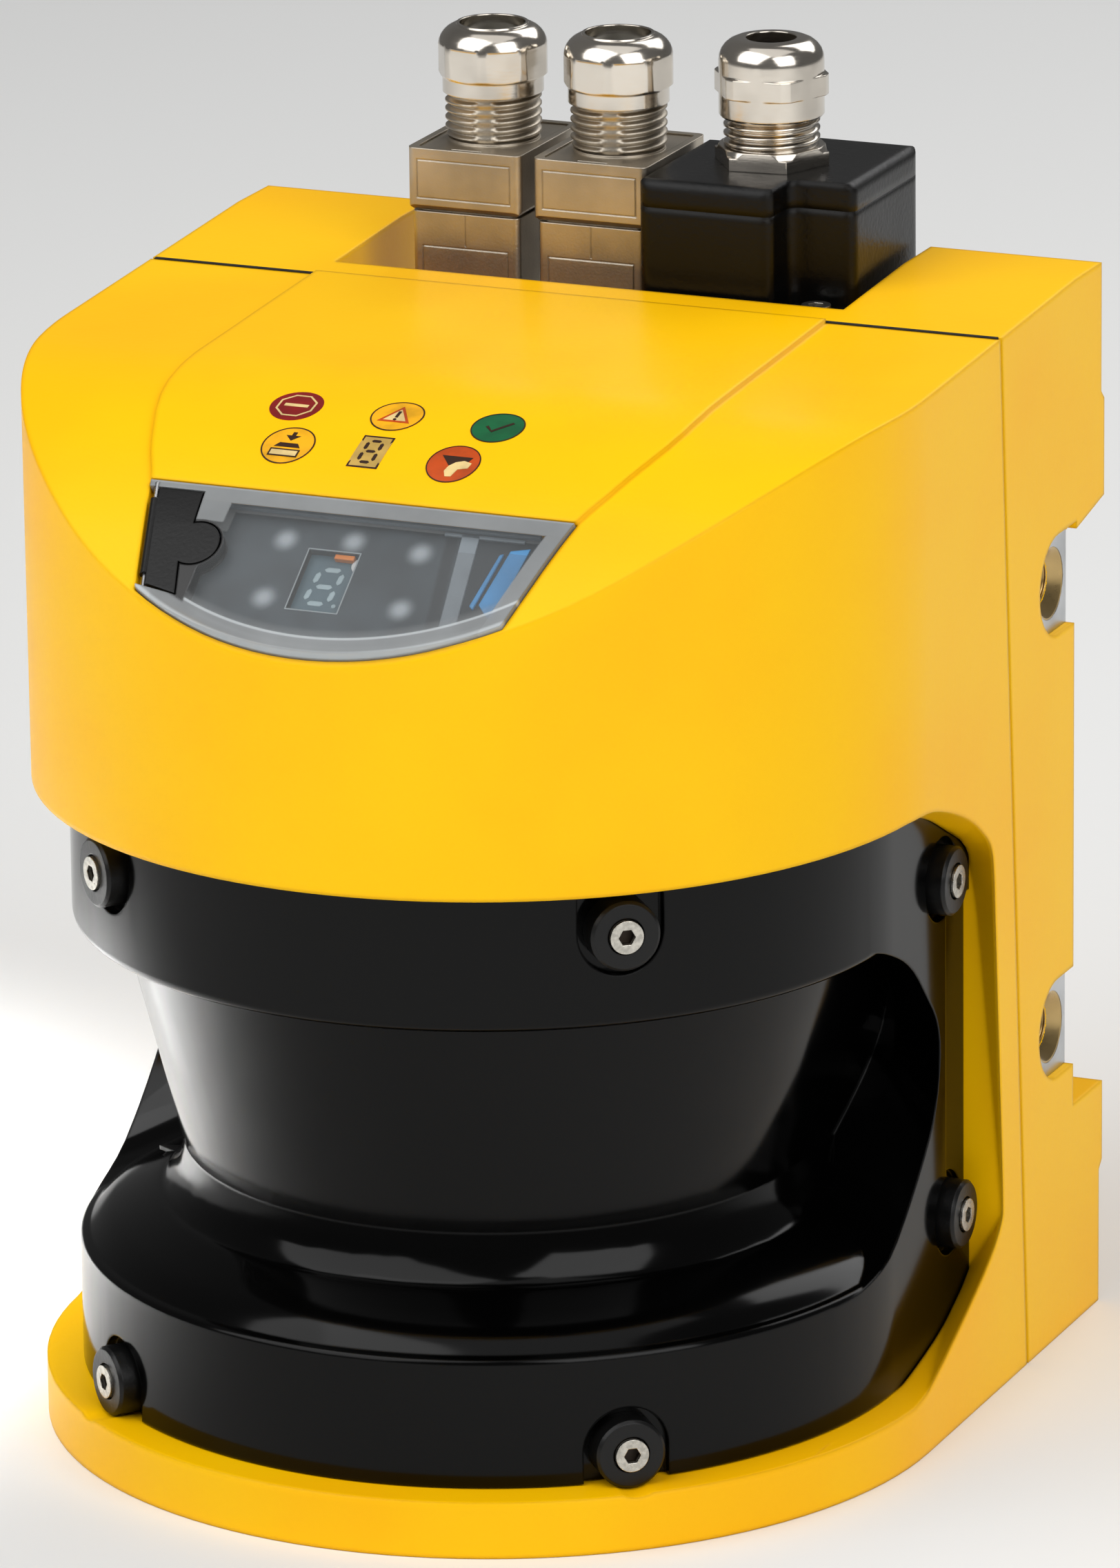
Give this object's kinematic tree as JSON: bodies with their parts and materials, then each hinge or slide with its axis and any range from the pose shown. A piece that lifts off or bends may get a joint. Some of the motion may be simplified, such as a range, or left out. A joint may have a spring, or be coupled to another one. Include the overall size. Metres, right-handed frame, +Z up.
{
  "type": "safety laser scanner",
  "caption": "Floor or machine mounted safety laser scanner: yellow cast housing, black wrap-round optics cover, rotating mirror, status display and upright cable plugs.",
  "frame": {"origin": "middle of the footprint, on the underside of the base flange", "axes": "+Z up; -Y towards the scanned area in front; +X across, on the side of the power plug"},
  "size_m": [0.155, 0.16, 0.2249],
  "materials": {
    "yellow_casting": "gloss powder coat on die-cast alloy",
    "gloss_black": "polished infrared-pass plastic",
    "black_plastic": "fine-grained moulded plastic",
    "dark_plastic": "matt moulded plastic",
    "clear_plastic": "clear moulded plastic",
    "seal_rubber": "matt",
    "grey_rubber": "matt",
    "screw_steel": "zinc plated",
    "bare_steel": "ground",
    "nickel": "nickel plated",
    "zinc_casting": "satin die-cast metal",
    "bare_alloy": "machined",
    "circuit_board": "satin",
    "copper": "enamelled wire",
    "lamp_plastic": "clear to milky",
    "front_mirror": "front surface coated",
    "lens_glass": "polished"
  },
  "bodies": {
    "housing": {"front_housing": "yellow_casting", "rear_housing": "yellow_casting", "housing_seal": "seal_rubber", "housing_screws": "screw_steel", "optics_cover": "gloss_black", "optics_seal": "seal_rubber", "cover_collars": "black_plastic", "cover_screws": "screw_steel", "display_lens": "clear_plastic", "display_tray": "dark_plastic", "display_board": "circuit_board", "digit_display": "dark_plastic", "status_lamps": "lamp_plastic", "flap_pin": "bare_steel", "service_socket": "dark_plastic", "left_plug_body": "zinc_casting", "left_plug_insert": "dark_plastic", "left_plug_seal": "grey_rubber", "middle_plug_body": "zinc_casting", "middle_plug_insert": "dark_plastic", "middle_plug_seal": "grey_rubber", "power_plug_case": "black_plastic", "power_plug_lid": "black_plastic", "power_plug_insert": "dark_plastic", "power_plug_screws": "screw_steel", "gland_body": "nickel", "gland_locknut": "nickel", "gland_seal": "grey_rubber", "data_sockets": "dark_plastic", "power_socket": "dark_plastic", "optics_frame": "bare_alloy", "motor_case": "bare_alloy", "motor_coils": "copper", "motor_bearings": "bare_steel", "disc_sensor": "dark_plastic", "receiver_lens": "lens_glass", "laser_module": "bare_alloy", "receiver_board": "circuit_board", "frame_screws": "screw_steel", "main_board": "circuit_board", "board_spacers": "bare_steel", "board_screws": "screw_steel"},
    "rotor": {"motor_shaft": "bare_steel", "rotor_magnet": "dark_plastic", "mirror_carrier": "bare_alloy", "scan_mirror": "front_mirror", "code_disc": "bare_steel"},
    "flap": {"service_flap": "black_plastic"},
    "left_sleeve": {"left_plug_sleeve": "zinc_casting"},
    "middle_sleeve": {"middle_plug_sleeve": "zinc_casting"},
    "left_cap": {"left_plug_cap": "nickel"},
    "middle_cap": {"middle_plug_cap": "nickel"},
    "power_cap": {"gland_cap": "nickel"}
  },
  "joints": [
    {"name": "mirror_spin", "type": "hinge", "parent": "housing", "child": "rotor", "pos_m": [0, -0.0025, 0.066], "axis": [0, 0, 1], "continuous": true},
    {"name": "service_flap_hinge", "type": "hinge", "parent": "housing", "child": "flap", "pos_m": [-0.0352, -0.05788, 0.16856], "axis": [0.2272, -0.7777, -0.5861], "range_deg": [0, 95]},
    {"name": "left_sleeve_slide", "type": "slide", "parent": "housing", "child": "left_sleeve", "axis": [0, 0, 1], "range_m": [0, 0.003], "stiffness_N_per_m": 300, "springref_m": -0.002},
    {"name": "middle_sleeve_slide", "type": "slide", "parent": "housing", "child": "middle_sleeve", "axis": [0, 0, 1], "range_m": [0, 0.003], "stiffness_N_per_m": 300, "springref_m": -0.002},
    {"name": "left_cap_turn", "type": "hinge", "parent": "housing", "child": "left_cap", "pos_m": [-0.026, 0.0595, 0.2165], "axis": [0, 0, 1], "continuous": true},
    {"name": "middle_cap_turn", "type": "hinge", "parent": "housing", "child": "middle_cap", "pos_m": [-0.0028, 0.0595, 0.2165], "axis": [0, 0, 1], "continuous": true},
    {"name": "power_cap_turn", "type": "hinge", "parent": "housing", "child": "power_cap", "pos_m": [0.0252, 0.0595, 0.2165], "axis": [0, 0, 1], "continuous": true}
  ]
}
